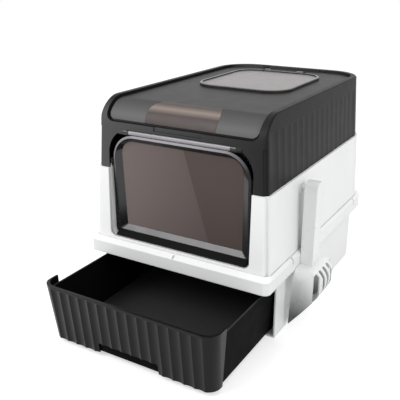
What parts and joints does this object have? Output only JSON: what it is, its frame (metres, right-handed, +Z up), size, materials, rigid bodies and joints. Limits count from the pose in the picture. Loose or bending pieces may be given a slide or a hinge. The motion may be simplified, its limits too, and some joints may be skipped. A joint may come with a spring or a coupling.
{
  "type": "drawer litter box",
  "caption": "Enclosed litter box with a pull-out litter drawer, swing door, flip-up top with a hatch, and a scoop hung on its side.",
  "frame": {"origin": "on the floor, under the middle of the enclosure's depth and width", "axes": "+X to the right seen from the front, +Y from the door to the rear, +Z up"},
  "size_m": [0.4031, 0.675, 0.3945],
  "materials": {
    "white_plastic": "semi-gloss",
    "black_plastic": "satin",
    "drawer_plastic": "satin",
    "smoked_plastic": "translucent gloss",
    "hatch_plastic": "translucent gloss",
    "pin_plastic": "satin",
    "bumper_rubber": "matte",
    "scoop_plastic": "semi-gloss"
  },
  "bodies": {
    "base": {"base_tub": "white_plastic", "front_panel": "white_plastic", "left_panel": "white_plastic", "right_panel": "white_plastic", "rear_panel": "white_plastic", "scoop_hook": "white_plastic"},
    "lid": {"lid_shell": "black_plastic", "top_flap_pins": "pin_plastic"},
    "top_flap": {"top_flap": "black_plastic", "tinted_strip": "smoked_plastic", "hatch_pins": "pin_plastic"},
    "hatch": {"hatch": "hatch_plastic"},
    "door": {"swing_door": "smoked_plastic", "door_rod": "pin_plastic", "door_bumpers": "bumper_rubber"},
    "drawer": {"drawer_tray": "drawer_plastic", "drawer_front": "drawer_plastic"},
    "scoop": {"litter_scoop": "scoop_plastic"}
  },
  "joints": [
    {"name": "drawer_slide", "type": "slide", "parent": "base", "child": "drawer", "axis": [0, -1, 0], "range_m": [-0.17, 0.22]},
    {"name": "door_swing", "type": "hinge", "parent": "lid", "child": "door", "pos_m": [0, -0.2423, 0.338], "axis": [1, 0, 0], "range_deg": [-80, 80]},
    {"name": "top_flap_hinge", "type": "hinge", "parent": "lid", "child": "top_flap", "pos_m": [0, 0.2365, 0.3884], "axis": [-1, 0, 0], "range_deg": [0, 100]},
    {"name": "hatch_hinge", "type": "hinge", "parent": "top_flap", "child": "hatch", "pos_m": [0, 0.1775, 0.3911], "axis": [-1, 0, 0], "range_deg": [0, 100]},
    {"name": "lid_lift", "type": "slide", "parent": "base", "child": "lid", "axis": [0, 0, 1], "range_m": [0, 0.12]},
    {"name": "scoop_lift", "type": "slide", "parent": "base", "child": "scoop", "axis": [0, 0, 1], "range_m": [0, 0.012]}
  ]
}
